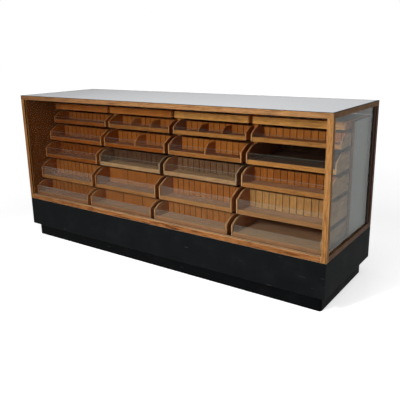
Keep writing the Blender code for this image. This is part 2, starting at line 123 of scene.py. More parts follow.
def make_camera():
    forward = Vector((
        math.sin(CAMERA_YAW) * math.cos(CAMERA_PITCH),
        math.cos(CAMERA_YAW) * math.cos(CAMERA_PITCH),
        -math.sin(CAMERA_PITCH),
    ))
    level_right = Vector((math.cos(CAMERA_YAW), -math.sin(CAMERA_YAW), 0))
    level_up = level_right.cross(forward)
    right = math.cos(CAMERA_ROLL) * level_right + math.sin(CAMERA_ROLL) * level_up
    up = math.cos(CAMERA_ROLL) * level_up - math.sin(CAMERA_ROLL) * level_right
    data = bpy.data.cameras.new("camera")
    data.sensor_width = SENSOR_MM
    data.lens = FOCAL_PIXELS * SENSOR_MM / IMAGE_PIXELS
    data.shift_x = (IMAGE_PIXELS / 2 - CENTRE_PIXELS[0]) / IMAGE_PIXELS
    data.shift_y = (CENTRE_PIXELS[1] - IMAGE_PIXELS / 2) / IMAGE_PIXELS
    camera = bpy.data.objects.new("camera", data)
    turn = Matrix((right, up, -forward)).transposed().to_4x4()
    camera.matrix_world = Matrix.Translation(CAMERA_PLACE) @ turn
    bpy.context.scene.collection.objects.link(camera)
    bpy.context.scene.camera = camera
    print("lens", round(data.lens, 2), "mm, shift", round(data.shift_x, 4), round(data.shift_y, 4))


make_camera()

# %% [markdown]
# ## Floor, background and light
# The photograph is a studio picture on white, with a faint shadow under the counter. The world is plain white to the
# camera, to mirror rays and to rays through glass, and a dim grey as a light. The floor glows white for the same
# rays, less near the counter, where a faint shadow stays. The main lamp is small and stands close, a little above the
# camera and to its left, before the right half of the counter. So its light falls off towards the left end, and the
# right end's face is in shade, as in the photograph. Another lamp stands to its right, one is higher, one hangs over
# the top, and a large weak one fills the left.

# %% Studio
FLOOR_SIZE = 60.0
FLOOR_DROP = 0.0004
NEAR_GLOW = 0.72
FAR_GLOW = 1.0
GLOW_NEAR = 1.5
GLOW_FAR = 4.5
ROOM_LIGHT = 0.12
WHITE_FOR = ("Is Camera Ray", "Is Glossy Ray", "Is Transmission Ray")
LAMPS = {
    # name: (place, target, width, height, watts)
    "main": ((0.2, -2.2, 1.36), (0.3, -0.2, 0.5), 0.25, 0.25, 21),
    "right": ((0.9, -3.0, 1.45), (0.5, -0.2, 0.5), 0.9, 0.9, 10),
    "high": ((0.4, -1.8, 2.3), (0.3, -0.2, 0.4), 0.6, 0.6, 15),
    "top": ((0.6, 0.0, 2.4), (0.6, 0.0, 0.9), 1.2, 1.0, 9),
    "fill": ((-1.6, -4.0, 1.6), (-0.4, -0.1, 0.5), 2.0, 1.4, 5),
}


def make_world():
    world = bpy.data.worlds.new("studio")
    world.use_nodes = True
    world.node_tree.nodes.clear()
    add = functools.partial(add_node, world.node_tree)
    light = add("Background", {"Color": srgb("F4F6F8"), "Strength": ROOM_LIGHT})
    seen = add("Background", {"Color": srgb("FFFFFF"), "Strength": 1.0})
    add("OutputWorld", {"Surface": other_for_rays(add, WHITE_FOR, light, seen)})
    bpy.context.scene.world = world


def make_floor():
    bm = bmesh.new()
    bmesh.ops.create_grid(bm, x_segments=1, y_segments=1, size=FLOOR_SIZE / 2)
    bmesh.ops.translate(bm, vec=(0, 0, -FLOOR_DROP), verts=bm.verts)
    mesh = bpy.data.meshes.new("floor")
    bm.to_mesh(mesh)
    bm.free()
    material, add = new_material("matt white studio floor")
    matt = add("BsdfPrincipled", {"Base Color": srgb("F6F6F6"), "Roughness": 0.9, "Specular IOR Level": 0.0})
    away = add("VectorMath", {0: add("TexCoord").outputs["Object"]}, operation="LENGTH").outputs["Value"]
    strength = add("MapRange", {
        "Value": away, "From Min": GLOW_NEAR, "From Max": GLOW_FAR, "To Min": NEAR_GLOW, "To Max": FAR_GLOW,
    })
    glow = add("Emission", {"Color": srgb("FFFFFF"), "Strength": strength})
    brighter = add("AddShader", {0: matt, 1: glow})
    add("OutputMaterial", {"Surface": other_for_rays(add, WHITE_FOR, matt, brighter)})
    mesh.materials.append(material)
    floor = bpy.data.objects.new("floor", mesh)
    bpy.context.scene.collection.objects.link(floor)


def make_lamps():
    for name, (place, target, width, height, watts) in LAMPS.items():
        data = bpy.data.lights.new(name, "AREA")
        data.shape = "RECTANGLE"
        data.size = width
        data.size_y = height
        data.energy = watts
        lamp = bpy.data.objects.new(name, data)
        direction = Vector(target) - Vector(place)
        turn = direction.to_track_quat("-Z", "Y").to_matrix().to_4x4()
        lamp.matrix_world = Matrix.Translation(place) @ turn
        bpy.context.scene.collection.objects.link(lamp)


make_world()
make_floor()
make_lamps()
bpy.context.scene.view_settings.view_transform = "Standard"
print("lamps:", ", ".join(LAMPS))

# %% [markdown]
# ## Oak and drawer wood
# Sawn timber shows three things at once: growth rings that a saw cuts at an angle, fine fibres along the board, and
# short open pores that hold dark finish. Each board carries its own coordinates in metres, with X along its grain, so
# one recipe serves rails, stiles and drawer sides in any direction. Rings are a wave texture around an axis beside
# the board, which is how a real log gives straight lines on one face and arches on another. Dirt in the open grain
# makes dark streaks. A tone value makes one board paler than its neighbour, and it also carries painted light and
# shade, where a board is made paler or darker for the light that falls on it. A darker board is also a little redder
# and richer. A wear value rubs an arris pale where it is above zero, and fills a joint with old polish and dust where
# it is below; on the drawer sides it also paints a highlight and shade. A dust value lays a grey film on the board,
# thickest on the faces that look up.

# %% Wood
RING_MM = 11
FIBRE_MM = 3.0
STREAK_MM = 9
PORE_MM = 1.4
MOTTLE_MM = 60
WAVE_PERIOD = 0.314
ALONG_GRAIN = 0.05
STREAK_ALONG = 0.11
RING_SHARE = 0.12
REDDER_WHEN_DARK = 0.018
YELLOWER_WHEN_PALE = 0.004
RICHER_WHEN_DARK = 0.035
DUST_COLOUR = "8C8272"
DUST_ON_UPRIGHT = 0.55
OLD_POLISH = 0.03


def wood(name, pale, middle, dark, worn, grime, roughness, figure=0.5, pore_depth=0.8, tone_range=0.5,
         streak_depth=0.0, holds_dust=1.0):
    """Finished timber from hex colours, with the shares of its figure, pores, tones, streaks and dust."""
    material, add = new_material(name)
    grain = add("Attribute", attribute_name="grain").outputs["Vector"]
    tone, wear, dust = (add("Attribute", attribute_name=kind).outputs["Fac"] for kind in ("tone", "wear", "dust"))

    drawn_out = add("Mapping", {"Vector": grain, "Scale": (ALONG_GRAIN, 1, 1)})
    rings = add("TexWave", {
        "Vector": drawn_out, "Scale": WAVE_PERIOD * 1000 / RING_MM, "Distortion": 5.0,
        "Detail": 3.0, "Detail Scale": 0.8, "Detail Roughness": 0.7,
    }, wave_type="RINGS", rings_direction="X")
    fibre = add("TexNoise", {"Vector": drawn_out, "Scale": 1000 / FIBRE_MM, "Detail": 4.0, "Roughness": 0.65})
    shorter = add("Mapping", {"Vector": grain, "Scale": (STREAK_ALONG, 1, 1)})
    streak = add("TexNoise", {"Vector": shorter, "Scale": 1000 / STREAK_MM, "Detail": 3.0, "Roughness": 0.6})
    pore = add("TexNoise", {"Vector": drawn_out, "Scale": 1000 / PORE_MM, "Detail": 1.0})
    mottle = add("TexNoise", {"Vector": grain, "Scale": 1000 / MOTTLE_MM, "Detail": 2.0})

    coarse = add("Mix", {0: RING_SHARE, 2: streak, 3: rings.outputs["Fac"]})
    figured = add("Mix", {0: figure, 2: fibre, 3: coarse})
    colour = add("ValToRGB", {"Fac": figured}, stops=(
        (0.25, srgb(dark)), (0.48, srgb(middle)), (0.75, srgb(pale)),
    ))
    pores = add("ValToRGB", {"Fac": pore}, stops=((0.34, (0.45, 0.45, 0.45, 1)), (0.42, (1, 1, 1, 1))))
    stains = add("ValToRGB", {"Fac": streak}, stops=((0.36, (0.3, 0.22, 0.16, 1)), (0.5, (1, 1, 1, 1))))
    for share, over in ((pore_depth, pores), (streak_depth, stains)):
        colour = add("Mix", {0: share, 6: colour, 7: over}, data_type="RGBA", blend_type="MULTIPLY")

    uneven = add("MapRange", {"Value": mottle, "From Min": 0.3, "From Max": 0.7, "To Min": 0.88, "To Max": 1.12})
    # The tone carries random paleness and also painted light and shade
    board_tone = add("MapRange", {"Value": tone, "To Min": 1 - tone_range, "To Max": 1 + tone_range})
    brightness = add("Math", {0: uneven, 1: board_tone}, operation="MULTIPLY")
    warmth = add("MapRange", {
        "Value": tone, "To Min": 0.5 - REDDER_WHEN_DARK, "To Max": 0.5 + YELLOWER_WHEN_PALE,
    })
    richness = add("MapRange", {"Value": tone, "To Min": 1 + RICHER_WHEN_DARK, "To Max": 1 - RICHER_WHEN_DARK})
    colour = add("HueSaturation", {"Color": colour, "Hue": warmth, "Saturation": richness, "Value": brightness})

    rubbed = add("MapRange", {"Value": wear, "To Max": 0.75})
    dirty = add("MapRange", {"Value": wear, "From Min": 0.0, "From Max": -1.0})
    upwards = add("SeparateXYZ", {"Vector": add("NewGeometry").outputs["Normal"]}).outputs["Z"]
    settling = add("MapRange", {"Value": upwards, "To Min": holds_dust * DUST_ON_UPRIGHT})
    film = add("Math", {0: dust, 1: settling}, operation="MULTIPLY")
    for share, over in ((rubbed, worn), (dirty, grime), (film, DUST_COLOUR)):
        colour = add("Mix", {0: share, 6: colour, 7: srgb(over)}, data_type="RGBA")

    gloss = add("MapRange", {"Value": fibre, "To Min": roughness + 0.15, "To Max": roughness - 0.1})
    relief = add("Bump", {"Height": pores, "Strength": 0.3, "Distance": 0.0003})
    shader = add("BsdfPrincipled", {
        "Base Color": colour, "Roughness": gloss, "Normal": relief, "IOR": 1.5, "Specular IOR Level": OLD_POLISH,
    })
    add("OutputMaterial", {"Surface": shader})
    return material


# Oiled oak of the frame: golden, with dark pores that the eye reads as streaks
honey_oak = wood("oiled honey oak", "D8A868", "BC8A4C", "7C5028", "DDB57A", "2A180A", 0.42, streak_depth=0.35)
# The sill, where hands and goods have worn the oil off and dirt has darkened the open grain in streaks
sill_oak = wood(
    "oiled oak with dark streaks", "DCAA6A", "BE8444", "70421E", "F0D0A8", "2A180A", 0.42, streak_depth=0.9,
)
# Fronts of the drawers and slides: a plainer, more golden board than the rest of a drawer
golden_wood = wood(
    "varnished golden drawer fronts", "C88E4C", "B47838", "8C5828", "E0B47C", "241006", 0.40, tone_range=0.6,
    holds_dust=2.0,
)
# Paler wood of the lower drawers' floors and rails, partly painted light for the light from above that falls on them
pale_floor_wood = wood("pale drawer floors", "CC9466", "BD8456", "A06C44", "E0B47C", "241006", 0.45, pore_depth=0.3)
# Varnished mahogany-coloured wood of the drawers: redder, closer grained and more even than the oak
drawer_wood = wood(
    "varnished orange drawer wood", "BF7834", "B06A28", "965622", "E0B47C", "241006", 0.40, pore_depth=0.3,
)
# The same wood where light and damp have bleached it, dull and grey brown
greyed_wood = wood(
    "bleached grey drawer wood", "B08A64", "926A48", "5E4230", "D2B48C", "140A06", 0.55, tone_range=0.7,
)
# The same oak where it is older and darker: the bottom rail at the right and the post
brown_oak = wood("darkened brown oak", "7C563C", "66452F", "43291A", "96724F", "160C06", 0.45, figure=0.45)
# A deep red brown, painted as shade on the inside of the closed left end, which makes its inner face nearly black red
left_end_shade_wood = wood("dark red brown painted shade", "6C3C12", "5A300C", "3A1C05", "8A5228", "140804", 0.45, pore_depth=0.3)
# Softwood under the bottom row, stained nearly black so that it disappears behind the goods. The same finish is
# painted shade in the post's recess and on the right end's core
dark_stain_and_shade_wood = wood("dark stained softwood and painted shade", "4E321E", "3A2412", "201207", "5C3C24", "0A0604", 0.5)
woods = (honey_oak, sill_oak, golden_wood, pale_floor_wood, drawer_wood, greyed_wood, brown_oak, left_end_shade_wood, dark_stain_and_shade_wood)
print("woods:", ", ".join(material.name for material in woods))

# %% [markdown]
# ## Black paint
# The plinth is brushed with black satin paint. Years of shoes and brooms leave pale scratches and dull scuffs, and
# the paint is thin on the corners. Long noise drawn out along the boards makes the brush marks. Thin slanted noise,
# cut off high, makes the scratches, a little coarser than real ones so that they show at all.

# %% Painted plinth
STROKE_MM = 4
SCRATCH_MM = 5
SCUFF_MM = 90


def black_paint(name, low, middle, high):
    material, add = new_material(name)
    spot = add("TexCoord").outputs["Object"]
    wear = add("Attribute", attribute_name="wear").outputs["Fac"]
    stroke, fine = 1000 / STROKE_MM, 1000 / SCRATCH_MM
    brushed = add("Mapping", {"Vector": spot, "Scale": (stroke / 30, stroke / 30, stroke)})
    strokes = add("TexNoise", {"Vector": brushed, "Scale": 1.0, "Detail": 3.0})
    scuffs = add("TexNoise", {"Vector": spot, "Scale": 1000 / SCUFF_MM, "Detail": 5.0})
    slanted = add("Mapping", {"Vector": spot, "Rotation": (0.35, 0.5, 0.3), "Scale": (fine / 16, fine / 3, fine)})
    scratch = add("TexNoise", {"Vector": slanted, "Scale": 1.0, "Detail": 1.0})
    lines = add("MapRange", {"Value": scratch, "From Min": 0.76, "From Max": 0.84, "To Max": 0.5})
    thin = add("MapRange", {"Value": wear, "To Max": 0.6})
    colour = add("ValToRGB", {"Fac": scuffs}, stops=(
        (0.35, srgb(low)), (0.55, srgb(middle)), (0.75, srgb(high)),
    ))
    for share, over in ((lines, "6E6C66"), (thin, "3C3F42")):
        colour = add("Mix", {0: share, 6: colour, 7: srgb(over)}, data_type="RGBA")
    dull = add("MapRange", {"Value": scuffs, "To Min": 0.45, "To Max": 0.7})
    relief = add("Bump", {"Height": strokes, "Strength": 0.25, "Distance": 0.0004})
    shader = add("BsdfPrincipled", {
        "Base Color": colour, "Roughness": dull, "Normal": relief, "Specular IOR Level": 0.02,
    })
    add("OutputMaterial", {"Surface": shader})
    return material


plinth_paint = black_paint("brushed black satin paint", "131516", "161819", "1C1E1F")
# The toe ring's paint is nearly soot black as painted shade, because the ring stands back in the shadow of the box
shaded_toe_paint = black_paint("black paint darkened as painted shade", "0A0B0C", "0D0E0F", "141516")
print("paints:", plinth_paint.name, "and", shaded_toe_paint.name)

# %% [markdown]
# ## Grey sheet
# The top is a hard-wearing grey linoleum, rolled flat and wiped for decades. It is nearly one colour, with a fine
# fleck, and a gloss that varies where use has polished it. Towards the left end it is painted darker, as the shade
# where less light falls. A bluish, duller version lines the pull-out slides.

# %% Grey linoleum
FLECK_MM = 7
CLOUD_MM = 330
# Painted shade: where the top's darkening towards the left end begins and ends
LEFT_SHADE_FROM = -1.05
LEFT_SHADE_TO = -0.40


def linoleum(name, low, middle, high, glossiest, dullest, left_end_shade=1.0):
    material, add = new_material(name)
    spot = add("TexCoord").outputs["Object"]
    fleck = add("TexNoise", {"Vector": spot, "Scale": 1000 / FLECK_MM, "Detail": 4.0})
    cloud = add("TexNoise", {"Vector": spot, "Scale": 1000 / CLOUD_MM, "Detail": 3.0})
    colour = add("ValToRGB", {"Fac": fleck}, stops=((0.3, srgb(low)), (0.5, srgb(middle)), (0.7, srgb(high))))
    clouds = add("MapRange", {"Value": cloud, "To Min": 0.94, "To Max": 1.06})
    # Painted shade: the sheet gets darker towards the left end, where less light falls
    left_shade = add("MapRange", {
        "Value": add("SeparateXYZ", {0: spot}).outputs["X"], "From Min": LEFT_SHADE_FROM, "From Max": LEFT_SHADE_TO,
        "To Min": left_end_shade,
    }, interpolation_type="SMOOTHERSTEP")
    value = add("Math", {0: clouds, 1: left_shade}, operation="MULTIPLY")
    clouded = add("HueSaturation", {"Color": colour, "Value": value})
    gloss = add("MapRange", {"Value": cloud, "To Min": glossiest, "To Max": dullest})
    shader = add("BsdfPrincipled", {"Base Color": clouded, "Roughness": gloss, "IOR": 1.48})
    add("OutputMaterial", {"Surface": shader})
    return material


# The top sheet's left end is painted darker as shade
top_sheet = linoleum("pale grey linoleum", "BEC0C4", "C3C5C8", "C8CACC", 0.28, 0.4, left_end_shade=0.72)
slide_sheet = linoleum("blue grey lining sheet", "8E959C", "989FA6", "A2A9AF", 0.4, 0.55)
# The same recipe for the outer face of the right end, a pressed board with one dull coat of grey paint
hardboard = linoleum("grey painted hardboard", "4B4744", "53504C", "5D5955", 0.5, 0.7)
print("sheets:", ", ".join(material.name for material in (top_sheet, slide_sheet, hardboard)))

# %% [markdown]
# ## Glass
# Float glass is clear, with a faint green cast at its edges and a mirror image that grows at flat angles. Lamps have
# to reach the drawers behind it, so rays that look for light pass as if there were no pane. The drawers' panes have a
# film of dust, thicker in the lower rows. A sheen layer draws it, because dust whitens most where the eye looks along
# the glass. The sawn and ground edges are pale, because fine grinding scatters light.

# %% Float glass and its ground edge
WAVE_MM = 220
GRIT_MM = 1.5
PASSED_BY = ("Is Diffuse Ray", "Is Reflection Ray", "Is Shadow Ray")


def float_glass(name, colour, ior, dust_film=0.0):
    material, add = new_material(name)
    spot = add("TexCoord").outputs["Object"]
    wave = add("TexNoise", {"Vector": spot, "Scale": 1000 / WAVE_MM, "Detail": 1.0})
    ripple = add("Bump", {"Height": wave, "Strength": 0.004, "Distance": 0.001})
    glass = add("BsdfPrincipled", {
        "Base Color": srgb(colour), "Roughness": 0.0, "IOR": ior, "Transmission Weight": 1.0, "Normal": ripple,
        "Sheen Weight": dust_film, "Sheen Roughness": 0.8, "Sheen Tint": srgb("C8C2B8"),
    })
    clear = add("BsdfTransparent", {"Color": srgb("F8FCFA")})
    add("OutputMaterial", {"Surface": other_for_rays(add, PASSED_BY, glass, clear)})
    return material


def ground_edge():
    material, add = new_material("ground glass edge")
    grit = add("TexNoise", {"Vector": add("TexCoord").outputs["Object"], "Scale": 1000 / GRIT_MM, "Detail": 2.0})
    colour = add("ValToRGB", {"Fac": grit}, stops=((0.3, srgb("7C8882")), (0.7, srgb("A4AEA8"))))
    shader = add("BsdfPrincipled", {"Base Color": colour, "Roughness": 0.6})
    add("OutputMaterial", {"Surface": shader})
    return material


front_pane_glass = float_glass("clear front float glass", "FAFCFB", 1.05)
side_pane_glass = float_glass("clear side float glass", "F4F8F6", 1.10)
clean_drawer_glass = float_glass("thin drawer glass", "FAFCFB", 1.1, dust_film=0.04)
filmed_drawer_glass = float_glass("thin drawer glass with a film of dust", "FAFCFB", 1.1, dust_film=0.25)
glass_edge = ground_edge()
print("materials so far:", len(bpy.data.materials))

# %% [markdown]
# ## How a board is made
# Nearly everything here is a board with slightly rounded arrises. Each is made in a bmesh of its own: a cube that is
# scaled to size, or an outline that is extruded, then bevelled. Before it joins its piece, every vertex is told three
# things that the wood material reads: where it lies along the board's own grain, how light this board is, and whether
# it sits on a rubbed arris or in a dirty joint. Attributes were chosen over texture images, because they follow a
# drawer when it slides and need no unwrapping.

# %% Board shapes
AXES = {"X": Vector((1, 0, 0)), "Y": Vector((0, 1, 0)), "Z": Vector((0, 0, 1))}


def box_shape(low, high):
    """A box between two opposite corners."""
    low, high = Vector(low), Vector(high)
    bm = bmesh.new()
    verts = bmesh.ops.create_cube(bm, size=1.0)["verts"]
    bmesh.ops.scale(bm, vec=high - low, verts=verts)
    bmesh.ops.translate(bm, vec=(low + high) / 2, verts=verts)
    return bm


def pull_out(bm, faces, offset):
    """Extrude faces and move the new ones."""
    grown = bmesh.ops.extrude_face_region(bm, geom=faces)["geom"]
    bmesh.ops.translate(bm, vec=offset, verts=[item for item in grown if isinstance(item, bmesh.types.BMVert)])


def drawn_shape(outline, axis, start, end):
    """A shape drawn in outline across an axis and extruded along it."""
    bm = bmesh.new()
    number = "XYZ".index(axis)
    face = bm.faces.new([bm.verts.new((*point[:number], start, *point[number:])) for point in outline])
    pull_out(bm, [face], AXES[axis] * (end - start))
    bmesh.ops.recalc_face_normals(bm, faces=bm.faces)
    return bm


# %% Round the arrises and mark their wear
SHARP_DEGREES = 25


def ease(bm, radius, wear=1.0, segments=2):
    """Round the sharp edges, and mark the middle line of each rounding as worn, or as dirty below zero."""
    edges = [edge for edge in bm.edges if edge.calc_face_angle(0) > math.radians(SHARP_DEGREES)]
    made = bmesh.ops.bevel(
        bm, geom=edges, offset=radius, affect="EDGES", segments=segments, profile=0.5, material=-1,
        clamp_overlap=True,
    )
    rounded = {face for face in made["faces"] if face.is_valid}
    layer = bm.verts.layers.float.get("wear") or bm.verts.layers.float.new("wear")
    for face in rounded:
        face.smooth = True
    for vert in {vert for face in rounded for vert in face.verts}:
        if all(face in rounded for face in vert.link_faces):
            vert[layer] = wear
    return bm


def cut_out(bm, low, high):
    """Cut a box-shaped housing out of a shape, with an exact Boolean that is applied at once."""
    holders = []
    for shape in (bm, box_shape(low, high)):
        mesh = bpy.data.meshes.new("shape")
        shape.to_mesh(mesh)
        shape.free()
        holder = bpy.data.objects.new("shape", mesh)
        bpy.context.scene.collection.objects.link(holder)
        holders.append(holder)
    target, cutter = holders
    modifier = target.modifiers.new("housing", "BOOLEAN")
    modifier.operation = "DIFFERENCE"
    modifier.solver = "EXACT"
    modifier.object = cutter
    bpy.context.view_layer.update()
    result = bmesh.new()
    result.from_object(target, bpy.context.evaluated_depsgraph_get())
    for holder in holders:
        mesh = holder.data
        bpy.data.objects.remove(holder)
        bpy.data.meshes.remove(mesh)
    return result


# %% Lay a board into its piece
GRAIN_ORDER = {"X": (0, 1, 2), "Y": (1, 2, 0), "Z": (2, 0, 1)}
PITH_NEAR = 0.03
PITH_FAR = 0.14
shade = random.Random(11)


def lay(piece, bm, along="X", tone=0.5, finish=0, chance=0.1):
    """Give a shape its grain, its tone with a little chance in it, and its finish, and add it to the piece.

    A pair of tones is the tone at the board's two ends, with an even change between them.
    """
    grain = bm.verts.layers.float_vector.new("grain")
    tones = bm.verts.layers.float.new("tone")
    if not bm.verts.layers.float.get("wear"):
        bm.verts.layers.float.new("wear")
    start = Vector((
        shade.uniform(0, 20),
        shade.choice((-1, 1)) * shade.uniform(PITH_NEAR, PITH_FAR),
        shade.choice((-1, 1)) * shade.uniform(PITH_NEAR, PITH_FAR),
    ))
    luck = shade.uniform(-chance, chance)
    near, far = tone if isinstance(tone, tuple) else (tone, tone)
    middle = sum((vert.co for vert in bm.verts), Vector()) / len(bm.verts)
    order = GRAIN_ORDER[along]
    reach = max(abs(vert.co[order[0]] - middle[order[0]]) for vert in bm.verts)
    for vert in bm.verts:
        local = Vector([vert.co[number] - middle[number] for number in order])
        vert[grain] = local + start
        vert[tones] = near + (far - near) * (0.5 + 0.5 * local[0] / reach) + luck
    for face in bm.faces:
        face.material_index = finish
    mesh = bpy.data.meshes.new("board")
    bm.to_mesh(mesh)
    bm.free()
    piece.from_mesh(mesh)
    bpy.data.meshes.remove(mesh)


def add_board(piece, low, high, along="X", tone=0.5, finish=0, rounding=0.001, wear=1.0, chance=0.1):
    """A plain board between two corners, with rounded arrises unless they are hidden and the rounding is zero."""
    bm = box_shape(low, high)
    if rounding:
        ease(bm, rounding, wear)
    lay(piece, bm, along, tone, finish, chance)


def place(piece, name, body, slot, materials, dust=0.0):
    """Turn a piece's boards into one object that stands for the CAD node of the same name, with its dust."""
    if dust:
        layer = piece.verts.layers.float.new("dust")
        for vert in piece.verts:
            vert[layer] = dust
    mesh = bpy.data.meshes.new(name)
    piece.to_mesh(mesh)
    piece.free()
    for material in materials:
        mesh.materials.append(material)
    obj = bpy.data.objects.new(f"{name}_dressed", mesh)
    bpy.context.scene.collection.objects.link(obj)
    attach(obj, body)
    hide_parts(name)
    return obj


print("board tools ready")

# %% [markdown]
# ## Plinth
# The lower ring stands back so that shoes fit under the box. Its corners are round, so it starts as a flat rectangle
# whose corner vertices are bevelled. An inset gives the wall, the middle is taken out, and the wall is extruded up.
# The box on it is a cube with an inset top face pushed down inside, which leaves walls of even thickness.

# %% Plinth ring and box
TOE_CORNER = 0.012
TOE_WALL = 0.018
PLINTH_WALL = 0.018


def make_toe_kick():
    low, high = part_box("toe_kick")
    bm = bmesh.new()
    bmesh.ops.create_grid(bm, x_segments=1, y_segments=1, size=0.5)
    bmesh.ops.scale(bm, vec=(high[0] - low[0], high[1] - low[1], 1), verts=bm.verts)
    bmesh.ops.translate(bm, vec=((low[0] + high[0]) / 2, (low[1] + high[1]) / 2, low[2]), verts=bm.verts)
    bmesh.ops.bevel(
        bm, geom=bm.verts[:], offset=TOE_CORNER, affect="VERTICES", segments=8, profile=0.5, material=-1,
    )
    middle = next(iter(bm.faces))
    bmesh.ops.inset_region(bm, faces=[middle], thickness=TOE_WALL, use_boundary=True, use_even_offset=True)
    bmesh.ops.delete(bm, geom=[middle], context="FACES")
    pull_out(bm, bm.faces[:], (0, 0, high[2] - low[2]))
    bmesh.ops.recalc_face_normals(bm, faces=bm.faces)
    piece = bmesh.new()
    lay(piece, ease(bm, 0.0012))
    place(piece, "toe_kick", "case", "black_paint", [shaded_toe_paint])


def make_plinth_box():
    low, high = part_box("plinth_box")
    bm = box_shape(low, high)
    top = max(bm.faces, key=lambda face: face.calc_center_median().z)
    bmesh.ops.inset_region(bm, faces=[top], thickness=PLINTH_WALL, use_even_offset=True)
    pull_out(bm, [top], (0, 0, low[2] + PLINTH_WALL - high[2]))
    bmesh.ops.delete(bm, geom=[top], context="FACES")
    bmesh.ops.recalc_face_normals(bm, faces=bm.faces)
    piece = bmesh.new()
    lay(piece, ease(bm, 0.0018))
    place(piece, "plinth_box", "case", "black_paint", [plinth_paint])


make_toe_kick()
make_plinth_box()

# %% [markdown]
# ## Floor and oak frame of the case
# The case stands on the plinth. Its floor is four stained boards side by side. The sill, the stile at the right
# corner, the bottom rail and the post carry the glass in grooves, so each is drawn in cross-section with its groove
# and extruded along its length, as a moulding comes off the machine. The sill's arrises are rubbed most. The post is
# two boards on a foot: a recessed one beside the pane, painted dark as the shade of a deep gap, and a plain one
# behind it.

# %% Case floor
FLOOR_BOARDS = 4
BOARD_GAP = 0.0006


def make_case_floor():
    low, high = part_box("case_floor")
    piece = bmesh.new()
    width = (high[1] - low[1]) / FLOOR_BOARDS
    for number in range(FLOOR_BOARDS):
        front = low[1] + number * width
        rear = front + width - BOARD_GAP
        add_board(piece, (low[0], front, low[2]), (high[0], rear, high[2]), rounding=0.0015, wear=-1.0)
    place(piece, "case_floor", "case", "drawer_wood", [dark_stain_and_shade_wood])


# %% Oak members around the glass
FIT = 0.0003
GROOVE = 0.006
POST_RECESS_WIDTH = 0.034
POST_RECESS_DEPTH = 0.004
FRONT_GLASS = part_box("front_glass")
SIDE_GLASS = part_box("side_glass")
FRONT_GROOVE = (FRONT_GLASS[0][1] - FIT, FRONT_GLASS[1][1] + FIT)
SIDE_GROOVE = (SIDE_GLASS[0][0] - FIT, SIDE_GLASS[1][0] + FIT)


def grooved_section(near, far, foot, top, groove, depth):
    """Section of a board with a groove in its top edge, as (across, height)."""
    return (
        (near, foot), (far, foot), (far, top), (groove[1], top), (groove[1], top - depth),
        (groove[0], top - depth), (groove[0], top), (near, top),
    )


def make_sill():
    low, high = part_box("sill")
    section = grooved_section(low[1], high[1], low[2], high[2], FRONT_GROOVE, GROOVE)
    piece = bmesh.new()
    lay(piece, ease(drawn_shape(section, "X", low[0], high[0]), 0.0018, wear=1.6), "X", 0.2)
    place(piece, "sill", "case", "honey_oak", [sill_oak], dust=0.05)


def make_right_stile():
    low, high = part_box("right_stile")
    front, side = FRONT_GROOVE, SIDE_GROOVE
    section = (
        (low[0], low[1]), (high[0], low[1]), (high[0], high[1]), (side[1], high[1]), (side[1], high[1] - GROOVE),
        (side[0], high[1] - GROOVE), (side[0], high[1]), (low[0], high[1]), (low[0], front[1]),
        (low[0] + GROOVE, front[1]), (low[0] + GROOVE, front[0]), (low[0], front[0]),
    )
    piece = bmesh.new()
    lay(piece, ease(drawn_shape(section, "Z", low[2], high[2]), 0.0012), "Z", 0.32)
    place(piece, "right_stile", "case", "honey_oak", [honey_oak])


def make_right_bottom_rail():
    low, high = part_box("right_bottom_rail")
    section = grooved_section(low[0], high[0], low[2], high[2], SIDE_GROOVE, GROOVE)
    piece = bmesh.new()
    lay(piece, ease(drawn_shape(section, "Y", low[1], high[1]), 0.0012, wear=-0.4), "Y", 1.0)
    place(piece, "right_bottom_rail", "case", "honey_oak", [brown_oak])


def make_rear_right_post():
    low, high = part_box("rear_right_post")
    sill_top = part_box("sill")[1][2]
    side = SIDE_GROOVE
    recess_rear = low[1] + POST_RECESS_WIDTH
    face = high[0] - POST_RECESS_DEPTH
    section = (
        (low[0], low[1]), (side[0], low[1]), (side[0], low[1] + GROOVE), (side[1], low[1] + GROOVE),
        (side[1], low[1]), (face, low[1]), (face, recess_rear), (low[0], recess_rear),
    )
    piece = bmesh.new()
    # Painted shade: the recessed board beside the pane gets the near black finish of a deep gap
    lay(piece, ease(drawn_shape(section, "Z", sill_top, high[2]), 0.001, wear=-0.6), "Z", 0.3, finish=1)
    add_board(piece, (low[0], recess_rear + FIT, sill_top), high, "Z", 0.75)
    add_board(piece, low, (high[0], high[1], sill_top - FIT), "Z", 0.5)
    place(piece, "rear_right_post", "case", "honey_oak", [brown_oak, dark_stain_and_shade_wood])


make_case_floor()
make_sill()
make_right_stile()
make_right_bottom_rail()
make_rear_right_post()
print("glass stands", round(FRONT_GLASS[1][1] - FRONT_GLASS[0][1], 4), "m thick in its grooves")

# %% [markdown]
# ## Top
# Four thin oak rails with a rebate hold the grey sheet, and their mitred corners show as a fine line. Each rail's
# section is drawn once as distances from its outer face, extruded past the corner, and cut at 45 degrees with
# bisect_plane, as on a mitre saw. A thin black strip is glued on top of the rails, mitred the same way: it is the
# dark line along the photograph's top edge. The front rail is painted darker towards its left end, as the shade
# where less light falls, and the right one is bleached.
# The flat top is a board with the sheet glued on, one millimetre short of the rails all round, which gives the dark
# joint line. A low board across the back closes the space above the slides.

# %% Top frame
TOP_MARGIN = 0.006
TOP_WIDTH = 0.030
TONGUE = 0.009
TOP_GROOVE = 0.005
SHEET = 0.0025
EDGING = 0.0018
REAR_BOARD_Y = 0.262
REAR_BOARD_THICKNESS = 0.016
REAR_BOARD_OUTSIDE = REAR_BOARD_Y + REAR_BOARD_THICKNESS
RAIL_ABOVE_SLIDES = 0.0015


